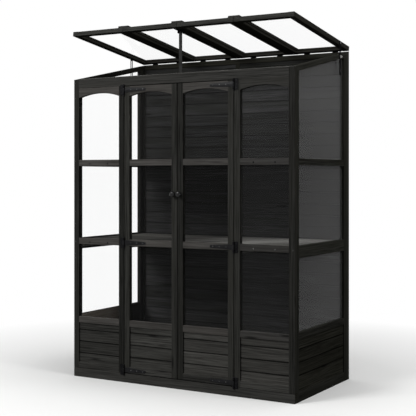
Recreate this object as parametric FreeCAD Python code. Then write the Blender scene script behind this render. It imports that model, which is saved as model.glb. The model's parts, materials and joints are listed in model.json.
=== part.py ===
import FreeCAD, Part
import math
import os

# Wooden mini greenhouse: a glazed cabinet on a boarded base, with two doors and a lifting lid.
# Millimetres. X runs along the front, +Y goes to the back, +Z is up.
# The front plane is Y = 0 while it is built; the whole is centred on its footprint at the end.
# The lid is modelled in its stored position, propped part open, and the doors closed.

# Overall sizes
width = 1450.0
depth = 740.0
front_height = 1763.0
back_height = 1921.0

# Timber sections
member = 36.0             # visible width of posts, stiles and rails
front_thick = 28.0        # front wall, from outside to inside
beam_depth = 36.0
beam_height = 52.0
sill_height = 53.0        # the board along the foot of the front
side_thick = 24.0         # end walls
back_post = 36.0          # back posts are square
rail_inset = 0.6          # rails lie this much inside the faces of the stiles
bay_bottom_rail = 35.0
door_bottom_rail = 36.0
side_bottom_rail = 52.0
back_bottom_rail = 60.0
side_front_stile = 21.0   # end wall stile beside the front corner post
side_back_stile = 41.0    # end wall stile beside the back post
side_top_rail = 30.0      # measured straight down
back_top_rail = 36.0
back_stile = 28.0         # upright in the middle of the back wall
back_brace_height = 50.0
back_brace_z = 770.0

# Lower edges of the rails
board_rail_z = 322.0
mid_rail_z = 788.0
upper_rail_z = 1250.0
side_board_rail_z = 331.0
side_mid_rail_z = 757.0
side_mid_rail = 33.0      # each of the two rails that meet at mid height
side_upper_rail_z = 1248.0

# Arched head rails: depth at their two ends, and rise of the arch
bay_arch_drop = 57.0
bay_arch_rise = 23.0
door_arch_drop = 58.0
door_arch_rise = 21.0

# Boards: the lowest of each panel is cut to its own height
board_pitch = 69.0
board_thick = 12.0
board_recess = 8.0
board_joint = 0.4
board_bevel = 3.0
bay_first_board = 54.0
door_first_board = 56.0
side_first_board = 86.0
side_board_recess = 6.0
back_board_thick = 14.0
back_board_recess = 16.0

# Panes
pane_thick = 4.0
pane_recess = 12.0
seat_depth = 6.0          # how far a pane or a board reaches into its groove
seat_clear = 0.3

# Doors
door_opening = 726.0      # between the inner posts
hinge_gap = 3.0
meeting_gap = 3.0
door_foot_gap = 3.0
door_head_gap = 2.5
door_thick = 26.0

# Door hinges: a long tapered strap on the door and a short leaf on the post
hinge_from_foot = 17.0    # middle of the lowest strap above the foot of the door
hinge_from_head = 21.5    # middle of the highest strap below the head of the door
strap_length = 150.0
strap_wide = 30.0
strap_tip_r = 8.0
strap_thick = 2.5
leaf_wide = 24.0
leaf_height = 61.0
knuckle_r = 5.0
hinge_pin_r = 2.5
pin_clear = 0.05
pin_head = 1.5
pin_head_step = 0.6       # the knuckle is this much larger than the head of its pin
knuckle_gap = 0.3
face_clear = 0.4

# Knobs
knob_z = 1089.0
knob_from_centre = 20.0
knob_r = 16.5
knob_neck_r = 7.0
knob_reach = 32.0
knob_head = 20.0          # depth of the rounded head

# Door stop and catches
stop_clear = 0.5
stop_deep = 10.0
stop_lap = 12.0           # how far the stop covers the heads of the doors
catch_from_centre = 60.0
catch_wide = 40.0
catch_high = 16.0
catch_deep = 18.0
catch_gap = 0.5
plate_thick = 1.5
plate_margin = 1.0

# Shelves
shelf_drop = 9.0          # top of the lower shelf below the top of the middle bar
upper_shelf_drop = 0.0
shelf_thick = 15.0
shelf_planks = 5
plank_gap = 3.0
shelf_front_gap = 5.0
shelf_wall_gap = 0.5
bearer_wide = 24.0
bearer_high = 28.0
upper_bearer_high = 12.0

# Lid: four sashes side by side, joined by battens
sashes = 4
sash_gap = 3.0
lid_thick = 26.0
lid_overhang = 1.0        # past the front plane when closed
lid_open = 19.5           # stored position, degrees above closed
lid_further = 8.0         # degrees that it opens beyond the stored position
lid_clear = 1.0
lid_pane_drop = 9.0       # from the top of the lid down to its panes
batten_wide = 70.0
batten_thick = 9.0

# Lid hinges
butt_from_middle = 91.0   # from the middle of each sash
butt_length = 34.0
butt_height = 26.0
butt_thick = 2.0
butt_knuckle_r = 4.5
butt_pin_r = 2.0

# Slotted stays outside the two end walls
stay_from_axis = 147.0
stay_wide = 22.0
stay_thick = 3.0
stay_length = 176.0       # from the pivot to the middle of the lower end
stay_slot_r = 5.2
stay_slot_start = 22.0
stay_slot_end = 164.0
stay_face_gap = 0.5
clamp_drop = 16.0         # clamp screw below the rim of the end wall
clamp_r = 2.5
clamp_deep = 18.0
thumb_r = 9.0
thumb_thick = 8.0
washer_gap = 0.3
pivot_r = 3.0
pivot_head_r = 6.5
pivot_head = 3.0

# Prop behind the middle of the front
prop_x = -8.0
prop_beam_gap = 6.8       # between the beam and the prop, where they come nearest
prop_drop = 14.5          # pivot below the underside of the lid
prop_wide = 20.0
prop_thick = 4.0
prop_length = 385.0       # from the pivot to the middle of the lower end
prop_eye_r = 6.0
bracket_sheet = 2.5
bracket_long = 26.0
bracket_below = 6.0       # cheeks reach this far past the pivot
keeper_sheet = 2.5
keeper_high = 20.0
keeper_drop = 13.0        # top of the keeper below the front edge of the beam
keeper_clear = 1.2        # front and back of the prop over its whole travel
keeper_side = 0.6
shoe_thick = 2.5
shoe_short = 1.0
prop_screw_r = 2.0
prop_screw_out = 3.0

# Values that follow from those above
half = width / 2
slope = (back_height - front_height) / depth
slope_deg = math.degrees(math.atan(slope))
slope_cos = math.cos(math.radians(slope_deg))
rest_deg = lid_open - slope_deg
beam_z = front_height - beam_height
opening_half = door_opening / 2
inner_post_out = opening_half + member
corner_in = half - member
wall_in = half - side_thick
side_y0 = front_thick + side_front_stile
back_y = depth - back_post
side_y1 = back_y - side_back_stile
door_foot = sill_height + door_foot_gap
door_head = beam_z - door_head_gap
door_hinge_z = (door_foot + hinge_from_foot, mid_rail_z + member / 2, door_head - hinge_from_head)
shelf_top = mid_rail_z + member - shelf_drop
upper_shelf_top = upper_rail_z + member - upper_shelf_drop
door_out = opening_half - hinge_gap
door_in = meeting_gap / 2
hinge_x = opening_half - hinge_gap / 2
hinge_y = -(knuckle_r + face_clear)
lid_under = lid_clear / 2
lid_top = lid_under + lid_thick
lid_back = butt_knuckle_r + face_clear + lid_under
lid_axis_y = depth + butt_knuckle_r + face_clear
lid_axis_z = front_height + slope * lid_axis_y + lid_under / slope_cos
lid_reach = (lid_axis_y + lid_overhang) / slope_cos
sash_width = (width - (sashes - 1) * sash_gap) / sashes
stay_in = half + stay_face_gap
stay_out = stay_in + stay_thick
prop_w = lid_under - prop_drop
prop_near = beam_depth + prop_beam_gap + prop_thick / 2
prop_from_axis = math.sqrt((lid_axis_y - prop_near) ** 2 - prop_w ** 2)
y_front = -knob_reach
y_back = lid_axis_y + butt_knuckle_r
y_shift = -(y_front + y_back) / 2

nodes = {}


def vec(x, y, z):
    return FreeCAD.Vector(x, y, z)


def add(name, *solids):
    nodes.setdefault(name, []).extend(solids)


def box(x0, x1, y0, y1, z0, z1):
    """A block between two corners, given in either order."""
    xa, xb = sorted((x0, x1))
    ya, yb = sorted((y0, y1))
    za, zb = sorted((z0, z1))
    return Part.makeBox(xb - xa, yb - ya, zb - za, vec(xa, ya, za))


def rod(r, start, end):
    return Part.makeCylinder(r, (end - start).Length, start, end - start)


def prism(points, sweep):
    """A straight body from the corners of its end and a sweep vector."""
    return Part.Face(Part.makePolygon(points + [points[0]])).extrude(sweep)


def arch_body(x0, x1, z0, z1, rise, y0, y1, arch_below):
    """A body between x0 and x1 with one arched edge.

    The arch is its lower edge, over the height z0, or its upper edge, over the height z1."""
    foot = z0 if arch_below else z1
    flat = z1 if arch_below else z0
    a = vec(x0, y0, foot)
    b = vec(x1, y0, foot)
    c = vec(x1, y0, flat)
    d = vec(x0, y0, flat)
    edges = [Part.Arc(a, vec((x0 + x1) / 2, y0, foot + rise), b).toShape()]
    edges += [Part.makeLine(b, c), Part.makeLine(c, d), Part.makeLine(d, a)]
    return Part.Face(Part.Wire(edges)).extrude(vec(0, y1 - y0, 0))


def strap(top, bottom, r, sweep):
    """A flat bar with round ends, from the centres of its ends and its thickness as a vector."""
    along = (bottom - top).normalize()
    side = along.cross(sweep).normalize() * r
    end = along * r
    edges = [Part.makeLine(top + side, bottom + side)]
    edges.append(Part.Arc(bottom + side, bottom + end, bottom - side).toShape())
    edges.append(Part.makeLine(bottom - side, top - side))
    edges.append(Part.Arc(top - side, top - end, top + side).toShape())
    return Part.Face(Part.Wire(edges)).extrude(sweep)


def cut_all(solids, tools):
    """Each solid with those tools taken out that reach it."""
    done = []
    for solid in solids:
        near = [tool for tool in tools if solid.BoundBox.intersect(tool.BoundBox)]
        if near:
            solid = solid.cut(near).Solids[0]
        done.append(solid)
    return done


def rim(y):
    """Height of the sloping rim of the walls at a depth y."""
    return front_height + slope * y


def below_rim(x0, x1, y0, y1, z0, drop):
    """An upright block under the slope of the rim, which its top follows at a given drop."""
    corners = [vec(x0, y0, z0), vec(x0, y1, z0), vec(x0, y1, rim(y1) - drop), vec(x0, y0, rim(y0) - drop)]
    return prism(corners, vec(x1 - x0, 0, 0))


def board_stack(place, z0, z1, first):
    """Boards with bevelled edges from z0 up to z1, which are their ends in the grooves.

    place(outline) makes one board from its corners as pairs of (height, share of the thickness)."""
    joints = [z0]
    z = z0 + seat_depth + first
    while z < z1 - seat_depth:
        joints.append(z)
        z += board_pitch
    joints.append(z1)
    for low, high in zip(joints[:-1], joints[1:]):
        a = low + board_joint / 2
        b = high - board_joint / 2
        v = board_bevel
        yield place([(a, v), (a + v, 0), (b - v, 0), (b, v), (b, None), (a, None)])


def front_boards(x0, x1, y0, thick, z0, z1, first):
    """Boards that run along X, with their bevels to the front."""
    def place(outline):
        corners = [vec(x0, y0 + (thick if d is None else d), z) for z, d in outline]
        return prism(corners, vec(x1 - x0, 0, 0))

    return list(board_stack(place, z0, z1, first))


def side_boards(y0, y1, x_face, inward, thick, z0, z1, first):
    """Boards that run along Y, with their bevels to the outside of an end wall."""
    def place(outline):
        corners = [vec(x_face + inward * (thick if d is None else d), y0, z) for z, d in outline]
        return prism(corners, vec(0, y1 - y0, 0))

    return list(board_stack(place, z0, z1, first))


def front_field(name, x0, x1, z0, z1, low_rail, first, thick, drop, rise):
    """Rails, arched head, boards and panes between two uprights of the front.

    Gives the grooves, which the uprights get too."""
    y0 = rail_inset
    y1 = thick - rail_inset
    foot = z1 - drop
    rails = [(z0, z0 + low_rail)]
    rails += [(z, z + member) for z in (board_rail_z, mid_rail_z, upper_rail_z)]
    gaps = [(low[1], high[0]) for low, high in zip(rails[:-1], rails[1:])]
    s = seat_depth
    g = seat_depth + seat_clear
    b0 = board_recess - seat_clear
    b1 = board_recess + board_thick + seat_clear
    p0 = pane_recess
    p1 = pane_recess + pane_thick
    grooves = [box(x0 - g, x1 + g, b0, b1, gaps[0][0] - g, gaps[0][1] + g)]
    for low, high in gaps[1:]:
        grooves.append(box(x0 - g, x1 + g, p0 - seat_clear, p1 + seat_clear, low - g, high + g))
    top = (rails[3][1] - g, foot + g, rise, p0 - seat_clear, p1 + seat_clear)
    grooves.append(arch_body(x0 - g, x1 + g, *top, False))
    add(name + "_rails", *cut_all([box(x0, x1, y0, y1, low, high) for low, high in rails], grooves))
    add(name + "_arch_rail", *cut_all([arch_body(x0, x1, foot, z1, rise, y0, y1, True)], grooves))
    low, high = gaps[0]
    add(name + "_boards", *front_boards(x0 - s, x1 + s, board_recess, board_thick, low - s, high + s, first))
    for low, high in gaps[1:]:
        add(name + "_panes", box(x0 - s, x1 + s, p0, p1, low - s, high + s))
    add(name + "_panes", arch_body(x0 - s, x1 + s, rails[3][1] - s, foot + s, rise, p0, p1, False))
    return grooves


def make_front():
    """Posts, beam and sill, and the two fixed bays beside the doors."""
    grooves = []
    for name, side in (("left", -1), ("right", 1)):
        x0, x1 = sorted((side * inner_post_out, side * corner_in))
        grooves += front_field(name + "_bay", x0, x1, sill_height, beam_z, bay_bottom_rail, bay_first_board,
                               front_thick, bay_arch_drop, bay_arch_rise)
    posts = []
    for side in (-1, 1):
        posts.append(box(side * opening_half, side * inner_post_out, 0, front_thick, sill_height, beam_z))
        posts.append(below_rim(side * corner_in, side * half, 0, front_thick, sill_height, 0))
    add("front_posts", *cut_all(posts, grooves))
    add("front_beam", below_rim(-corner_in, corner_in, 0, beam_depth, beam_z, 0))
    add("front_sill", box(-half, half, 0, front_thick, 0, sill_height))


def make_end_wall(name, side):
    """One end wall: its frame, boards and panes between the corner post and the back post."""
    face = side * half
    x0 = side * (half - rail_inset)
    x1 = side * (wall_in + rail_inset)
    y0 = side_y0
    y1 = side_y1
    rails = [(0, side_bottom_rail), (side_board_rail_z, side_board_rail_z + member)]
    for z in (side_mid_rail_z, side_mid_rail_z + side_mid_rail):
        rails.append((z, z + side_mid_rail))
    rails.append((side_upper_rail_z, side_upper_rail_z + member))
    s = seat_depth
    g = seat_depth + seat_clear
    b0 = side * (half - side_board_recess + seat_clear)
    b1 = side * (half - side_board_recess - board_thick - seat_clear)
    p0 = side * (half - pane_recess)
    p1 = side * (half - pane_recess - pane_thick)
    e = side * seat_clear
    grooves = [box(b0, b1, y0 - g, y1 + g, rails[0][1] - g, rails[1][0] + g)]
    for low, high in ((rails[1][1], rails[2][0]), (rails[3][1], rails[4][0])):
        grooves.append(box(p0 + e, p1 - e, y0 - g, y1 + g, low - g, high + g))
        add(name + "_wall_panes", box(p0, p1, y0 - s, y1 + s, low - s, high + s))
    grooves.append(below_rim(p0 + e, p1 - e, y0 - g, y1 + g, rails[4][1] - g, side_top_rail - g))
    add(name + "_wall_panes", below_rim(p0, p1, y0 - s, y1 + s, rails[4][1] - s, side_top_rail - s))
    pairs = ((front_thick, y0), (y1, back_y))
    stiles = [below_rim(face, side * wall_in, a, b, 0, side_top_rail) for a, b in pairs]
    ya = front_thick
    yb = back_y
    corners = [(ya, rim(ya) - side_top_rail), (yb, rim(yb) - side_top_rail), (yb, rim(yb)), (ya, rim(ya))]
    top = prism([vec(face, y, z) for y, z in corners], vec(side * (wall_in - half), 0, 0))
    top = top.cut(rod(clamp_r, *clamp_ends(side)))
    bars = [box(x0, x1, y0, y1, low, high) for low, high in rails]
    add(name + "_wall_frame", *cut_all(stiles + bars + [top], grooves))
    z0 = rails[0][1] - s
    z1 = rails[1][0] + s
    x_face = side * (half - side_board_recess)
    layers = side_boards(y0 - s, y1 + s, x_face, -side, board_thick, z0, z1, side_first_board)
    add(name + "_wall_boards", *layers)


def make_back():
    """Back posts, rails, middle upright and boards."""
    y0 = back_y + back_post - back_board_recess - back_board_thick
    y1 = y0 + back_board_thick
    z1 = back_height - back_top_rail
    middle = back_stile / 2
    s = seat_depth
    g = seat_depth + seat_clear
    grooves = []
    braces = []
    for side in (-1, 1):
        xa, xb = sorted((side * middle, side * corner_in))
        grooves.append(box(xa - g, xb + g, y0 - seat_clear, y1 + seat_clear, back_bottom_rail - g, z1 + g))
        z0 = back_bottom_rail - s
        add("back_wall_boards", *front_boards(xa - s, xb + s, y0, back_board_thick, z0, z1 + s, board_pitch))
        braces.append(box(xa, xb, y1, depth, back_brace_z, back_brace_z + back_brace_height))
    posts = [below_rim(side * corner_in, side * half, back_y, depth, 0, 0) for side in (-1, 1)]
    add("back_posts", *cut_all(posts, grooves))
    frame = [box(-corner_in, corner_in, back_y, depth, 0, back_bottom_rail)]
    frame.append(box(-middle, middle, back_y, depth, back_bottom_rail, z1))
    frame.append(below_rim(-corner_in, corner_in, back_y, depth, z1, 0))
    add("back_wall_rails", *cut_all(frame, grooves), *braces)


def make_shelf(name, top, under):
    """Planks along the cabinet, on bearers at the ends, the back and the inner posts."""
    y0 = front_thick + shelf_front_gap
    y1 = back_y - shelf_wall_gap
    z0 = top - shelf_thick
    x = wall_in - shelf_wall_gap
    plank = (y1 - y0 - (shelf_planks - 1) * plank_gap) / shelf_planks
    for k in range(shelf_planks):
        ya = y0 + k * (plank + plank_gap)
        add(name, box(-x, x, ya, ya + plank, z0, top))
    back = back_y - bearer_wide
    add("shelf_bearers", box(-wall_in + bearer_wide, wall_in - bearer_wide, back, back_y, z0 - under, z0))
    post = opening_half + member / 2
    for side in (-1, 1):
        xa = side * wall_in
        xb = side * (wall_in - bearer_wide)
        add("shelf_bearers", box(xa, xb, front_thick, back_y, z0 - under, z0))
        xa = side * (post - bearer_wide / 2)
        xb = side * (post + bearer_wide / 2)
        add("shelf_bearers", box(xa, xb, front_thick, back, z0 - under, z0))


def make_stop():
    """The strip under the beam that the doors close against, and the catches under it."""
    y0 = door_thick + stop_clear
    z0 = beam_z - door_head_gap - stop_lap
    add("door_stop", box(-opening_half, opening_half, y0, y0 + stop_deep, z0, beam_z))
    ya = door_thick - rail_inset + plate_thick + catch_gap
    for side in (-1, 1):
        x0 = side * catch_from_centre
        x1 = side * (catch_from_centre + catch_wide)
        add("door_catches", box(x0, x1, ya, ya + catch_deep, z0 - catch_high, z0))


def knuckle(r, bore, start, end):
    return rod(r, start, end).cut(rod(bore, start, end))


def hinge_pin(r, head_r, start, end):
    """A pin with a head at each end, outside the knuckles."""
    step = (end - start).normalize() * pin_head
    heads = [rod(head_r, start - step, start), rod(head_r, end, end + step)]
    return rod(r, start, end).fuse(heads).removeSplitter()


def make_door(name, side):
    """One door with its hinges, knob and catch plate."""
    x0, x1 = sorted((side * (door_in + member), side * (door_out - member)))
    grooves = front_field(name, x0, x1, door_foot, door_head, door_bottom_rail, door_first_board,
                          door_thick, door_arch_drop, door_arch_rise)
    pairs = ((door_in, door_in + member), (door_out - member, door_out))
    stiles = [box(side * a, side * b, 0, door_thick, door_foot, door_head) for a, b in pairs]
    add(name + "_stiles", *cut_all(stiles, grooves))
    add(name + "_knob", make_knob().translate(vec(side * knob_from_centre, 0, knob_z)))
    ya = door_thick - rail_inset
    z1 = beam_z - door_head_gap - stop_lap - plate_margin
    z0 = z1 - catch_high + 2 * plate_margin
    xa = side * (catch_from_centre + plate_margin)
    xb = side * (catch_from_centre + catch_wide - plate_margin)
    add(name + "_catch_plate", box(xa, xb, ya, ya + plate_thick, z0, z1))
    for z in door_hinge_z:
        make_strap_hinge(name, side, z)


def make_strap_hinge(name, side, z):
    """Strap, post leaf and pin of one door hinge, about an upright axis."""
    axis = vec(side * hinge_x, hinge_y, 0)
    low = z - leaf_height / 2
    third = leaf_height / 3
    bore = hinge_pin_r + pin_clear
    off = knuckle_r + knuckle_gap
    root = hinge_x - off
    tip = hinge_x - strap_length + strap_tip_r
    corners = [(root, strap_wide / 2), (tip, strap_tip_r), (tip, -strap_tip_r), (root, -strap_wide / 2)]
    p = [vec(side * x, -strap_thick, z + dz) for x, dz in corners]
    edges = [Part.makeLine(p[0], p[1])]
    edges.append(Part.Arc(p[1], vec(side * (tip - strap_tip_r), -strap_thick, z), p[2]).toShape())
    edges += [Part.makeLine(p[2], p[3]), Part.makeLine(p[3], p[0])]
    plate = Part.Face(Part.Wire(edges)).extrude(vec(0, strap_thick, 0))
    za = low + third + knuckle_gap
    zb = low + 2 * third - knuckle_gap
    tongue = box(side * root, side * hinge_x, -strap_thick, 0, za, zb)
    barrel = rod(knuckle_r, axis + vec(0, 0, za), axis + vec(0, 0, zb))
    solid = plate.fuse([tongue, barrel]).cut(rod(bore, axis + vec(0, 0, za), axis + vec(0, 0, zb)))
    add(name + "_hinge_straps", solid.removeSplitter().Solids[0])
    xa = side * (hinge_x + off)
    xb = side * (opening_half + leaf_wide)
    leaf = box(xa, xb, -strap_thick, 0, low, low + leaf_height)
    pieces = []
    bores = []
    for k in (0, 2):
        za = low + k * third
        zb = za + third
        pieces.append(box(side * hinge_x, side * (hinge_x + off), -strap_thick, 0, za, zb))
        pieces.append(rod(knuckle_r, axis + vec(0, 0, za), axis + vec(0, 0, zb)))
        bores.append(rod(bore, axis + vec(0, 0, za), axis + vec(0, 0, zb)))
    add("door_hinge_leaves", leaf.fuse(pieces).cut(bores).removeSplitter().Solids[0])
    ends = (axis + vec(0, 0, low), axis + vec(0, 0, low + leaf_height))
    add("door_hinge_pins", hinge_pin(hinge_pin_r, knuckle_r - pin_head_step, *ends))


def make_knob():
    """A round knob on a neck, turned about the Y axis."""
    b = knob_head / 2
    start = math.acos(knob_neck_r / knob_r)
    curve = Part.ArcOfEllipse(Part.Ellipse(vec(0, b - knob_reach, 0), knob_r, b), -math.pi / 2, start)
    meet = curve.EndPoint
    tip = curve.StartPoint
    edges = [curve.toShape(), Part.makeLine(meet, vec(meet.x, 0, 0))]
    edges += [Part.makeLine(vec(meet.x, 0, 0), vec(0, 0, 0)), Part.makeLine(vec(0, 0, 0), tip)]
    return Part.Face(Part.Wire(edges)).revolve(vec(0, 0, 0), vec(0, 1, 0), 360)


def lid_point(u, w, opening=lid_open):
    """Depth and height of a point of the lid: u in front of the hinge axis, w above it."""
    a = math.radians(opening - slope_deg)
    return lid_axis_y - u * math.cos(a) + w * math.sin(a), lid_axis_z + u * math.sin(a) + w * math.cos(a)


def on_lid(solid):
    """Moves what was built flat, with the hinge axis along X through the origin, to the open lid."""
    turned = solid.copy()
    turned.rotate(vec(0, 0, 0), vec(-1, 0, 0), rest_deg)
    turned.translate(vec(0, lid_axis_y, lid_axis_z))
    return turned


def sash_left(k):
    return -half + k * (sash_width + sash_gap)


def make_lid():
    """Four glazed sashes and the battens over their joints."""
    y0 = -lid_reach
    y1 = -lid_back
    z0 = lid_under + rail_inset
    z1 = lid_top - rail_inset
    s = seat_depth
    g = seat_depth + seat_clear
    pane_z1 = lid_top - lid_pane_drop
    pane_z0 = pane_z1 - pane_thick
    pivots = [rod(pivot_r, *pivot_ends(side)) for side in (-1, 1)]
    for k in range(sashes):
        x0 = sash_left(k)
        x1 = x0 + sash_width
        xa = x0 + member
        xb = x1 - member
        low = pane_z0 - seat_clear
        high = pane_z1 + seat_clear
        groove = box(xa - g, xb + g, y0 + member - g, y1 - member + g, low, high)
        stiles = [box(x0, xa, y0, y1, lid_under, lid_top), box(xb, x1, y0, y1, lid_under, lid_top)]
        rails = [box(xa, xb, y0, y0 + member, z0, z1), box(xa, xb, y1 - member, y1, z0, z1)]
        add("lid_stiles", *[on_lid(solid) for solid in cut_all(stiles, [groove] + pivots)])
        add("lid_rails", *[on_lid(solid) for solid in cut_all(rails, [groove])])
        add("lid_panes", on_lid(box(xa - s, xb + s, y0 + member - s, y1 - member + s, pane_z0, pane_z1)))
    for k in range(1, sashes):
        x0 = sash_left(k) - (sash_gap + batten_wide) / 2
        add("lid_battens", on_lid(box(x0, x0 + batten_wide, y0, y1, lid_top, lid_top + batten_thick)))


def make_lid_hinges():
    """Two butt hinges on each sash, their leaves on the back faces of the wall and the lid."""
    third = butt_length / 3
    off = butt_knuckle_r + knuckle_gap
    bore = butt_pin_r + pin_clear
    axis = vec(0, lid_axis_y, lid_axis_z)
    for k in range(sashes):
        for x in (sash_left(k) + sash_width / 2 + d for d in (-butt_from_middle, butt_from_middle)):
            x0 = x - butt_length / 2
            x1 = x0 + butt_length
            z = lid_axis_z
            plate = box(x0, x1, depth, depth + butt_thick, z - butt_height, z - off)
            pieces = []
            bores = []
            for a in (x0, x1 - third):
                pieces.append(box(a, a + third, depth, depth + butt_thick, z - off, z))
                pieces.append(rod(butt_knuckle_r, axis + vec(a, 0, 0), axis + vec(a + third, 0, 0)))
                bores.append(rod(bore, axis + vec(a, 0, 0), axis + vec(a + third, 0, 0)))
            add("lid_hinge_wall_leaves", plate.fuse(pieces).cut(bores).removeSplitter().Solids[0])
            a = vec(x0 + third + knuckle_gap, 0, 0)
            b = vec(x1 - third - knuckle_gap, 0, 0)
            plate = box(x0, x1, -lid_back, butt_thick - lid_back, off, butt_height)
            tongue = box(a.x, b.x, -lid_back, butt_thick - lid_back, lid_under, off)
            leaf = plate.fuse([tongue, rod(butt_knuckle_r, a, b)]).cut(rod(bore, a, b))
            add("lid_hinge_leaves", on_lid(leaf.removeSplitter().Solids[0]))
            ends = (axis + vec(x0, 0, 0), axis + vec(x1, 0, 0))
            add("lid_hinge_pins", hinge_pin(butt_pin_r, butt_knuckle_r - pin_head_step, *ends))


def clamp_point():
    """Depth and height of the clamp screws, straight below the pivots of the stays."""
    y, _ = lid_point(stay_from_axis, (lid_under + lid_top) / 2)
    return y, rim(y) - clamp_drop


def clamp_ends(side):
    """The two ends of a clamp screw's shank."""
    y, z = clamp_point()
    return vec(side * (half - clamp_deep), y, z), vec(side * (stay_out + washer_gap), y, z)


def pivot_ends(side):
    """The two ends of a pivot screw's shank, before the lid is placed."""
    z = (lid_under + lid_top) / 2
    y = -stay_from_axis
    return vec(side * (half - clamp_deep), y, z), vec(side * (stay_out + washer_gap), y, z)


def make_stays():
    """A slotted stay outside each end wall, its pivot on the lid and its clamp screw in the wall."""
    y, z = lid_point(stay_from_axis, (lid_under + lid_top) / 2)
    for name, side in (("left", -1), ("right", 1)):
        top = vec(side * stay_in, y, z)
        across = vec(side * stay_thick, 0, 0)
        bar = strap(top, top - vec(0, 0, stay_length), stay_wide / 2, across)
        slot = strap(top - vec(0, 0, stay_slot_start), top - vec(0, 0, stay_slot_end), stay_slot_r, across)
        add(name + "_lid_stay", bar.cut([slot, rod(pivot_r + pin_clear, top, top + across)]).Solids[0])
        shank, end = pivot_ends(side)
        screw = rod(pivot_r, shank, end).fuse(rod(pivot_head_r, end, end + vec(side * pivot_head, 0, 0)))
        add("stay_pivot_screws", on_lid(screw.removeSplitter()))
        shank, end = clamp_ends(side)
        screw = rod(clamp_r, shank, end).fuse(rod(thumb_r, end, end + vec(side * thumb_thick, 0, 0)))
        add("stay_clamp_screws", screw.removeSplitter())


def make_prop():
    """The middle prop, its bracket under the lid and its keeper on the beam."""
    r = prop_wide / 2
    inner = r + keeper_side
    outer = inner + bracket_sheet
    y0 = -prop_from_axis - bracket_long / 2
    y1 = y0 + bracket_long
    low = prop_w - bracket_below
    bracket = box(prop_x - outer, prop_x + outer, y0, y1, low, lid_under)
    bracket = bracket.cut(box(prop_x - inner, prop_x + inner, y0, y1, low, lid_under - bracket_sheet))
    ends = [vec(prop_x + side * outer, -prop_from_axis, prop_w) for side in (-1, 1)]
    add("prop_bracket", on_lid(bracket.cut(rod(pivot_r, *ends)).Solids[0]), on_lid(rod(pivot_r, *ends)))
    y, z = lid_point(prop_from_axis, prop_w)
    top = vec(prop_x, y - prop_thick / 2, z)
    bar = strap(top - vec(0, 0, r), top - vec(0, 0, prop_length), r, vec(0, prop_thick, 0))
    across = [vec(prop_x + side * r, y, z) for side in (-1, 1)]
    bar = bar.fuse(rod(prop_eye_r, *across)).cut(rod(pivot_r + pin_clear, *across))
    add("lid_prop", bar.removeSplitter().Solids[0])
    keep_y0 = beam_depth + prop_beam_gap - keeper_clear
    ways = [lid_point(prop_from_axis, prop_w, turn)[0] for turn in (0, lid_open + lid_further)]
    keep_y1 = max(ways) + prop_thick / 2 + keeper_clear
    z1 = front_height - keeper_drop
    z0 = z1 - keeper_high
    left = prop_x - inner - shoe_thick
    right = prop_x + inner
    keeper = box(left - keeper_sheet, right + keeper_sheet, beam_depth, keep_y1 + keeper_sheet, z0, z1)
    keeper = keeper.cut(box(left, right, keep_y0, keep_y1, z0, z1))
    middle = vec(left, (keep_y0 + keep_y1) / 2, (z0 + z1) / 2)
    out = middle - vec(keeper_sheet + prop_screw_out, 0, 0)
    add("prop_keeper", keeper.cut(rod(prop_screw_r, middle, out)).Solids[0])
    screw = rod(prop_screw_r, middle, out).fuse(rod(thumb_r, out, out - vec(thumb_thick, 0, 0)))
    y0 = keep_y0 + shoe_short
    y1 = keep_y1 - shoe_short
    shoe = box(left, left + shoe_thick, y0, y1, z0 + shoe_short, z1 - shoe_short)
    add("prop_clamp", screw.removeSplitter(), shoe)


make_front()
make_end_wall("left", -1)
make_end_wall("right", 1)
make_back()
make_shelf("lower_shelf", shelf_top, bearer_high)
make_shelf("upper_shelf", upper_shelf_top, upper_bearer_high)
make_stop()
make_door("left_door", -1)
make_door("right_door", 1)
make_lid()
make_lid_hinges()
make_stays()
make_prop()

os.makedirs("parts", exist_ok=True)
for node, solids in nodes.items():
    shape = solids[0] if len(solids) == 1 else Part.makeCompound(solids)
    shape = shape.copy()
    shape.translate(vec(0, y_shift, 0))
    shape.exportStep("parts/" + node + ".step")
print(len(nodes), "nodes", sum(len(solids) for solids in nodes.values()), "solids")
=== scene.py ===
import bpy
import bmesh
import json
import math
import random
from mathutils import Matrix, Vector

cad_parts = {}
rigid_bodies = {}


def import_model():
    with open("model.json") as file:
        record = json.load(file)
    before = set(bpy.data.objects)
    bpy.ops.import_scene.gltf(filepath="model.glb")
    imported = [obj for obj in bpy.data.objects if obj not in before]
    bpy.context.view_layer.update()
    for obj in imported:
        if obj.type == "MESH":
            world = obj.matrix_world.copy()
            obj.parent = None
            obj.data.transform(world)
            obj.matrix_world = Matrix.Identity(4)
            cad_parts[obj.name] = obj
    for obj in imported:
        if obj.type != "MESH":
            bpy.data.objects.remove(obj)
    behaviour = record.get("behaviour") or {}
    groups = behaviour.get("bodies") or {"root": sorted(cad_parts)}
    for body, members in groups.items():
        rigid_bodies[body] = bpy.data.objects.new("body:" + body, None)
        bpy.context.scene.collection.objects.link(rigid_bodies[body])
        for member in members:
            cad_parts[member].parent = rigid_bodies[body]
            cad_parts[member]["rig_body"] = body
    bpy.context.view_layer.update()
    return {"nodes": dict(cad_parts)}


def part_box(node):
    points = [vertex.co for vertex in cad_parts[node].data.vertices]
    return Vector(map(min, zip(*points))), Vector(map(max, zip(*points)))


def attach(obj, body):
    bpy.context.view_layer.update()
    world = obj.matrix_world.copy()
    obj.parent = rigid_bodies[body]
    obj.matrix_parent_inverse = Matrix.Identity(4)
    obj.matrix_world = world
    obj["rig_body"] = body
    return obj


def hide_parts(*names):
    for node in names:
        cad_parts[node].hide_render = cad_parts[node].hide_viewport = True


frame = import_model()
cadNodes = frame["nodes"]
print("frame:", len(cadNodes), "nodes")

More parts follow.
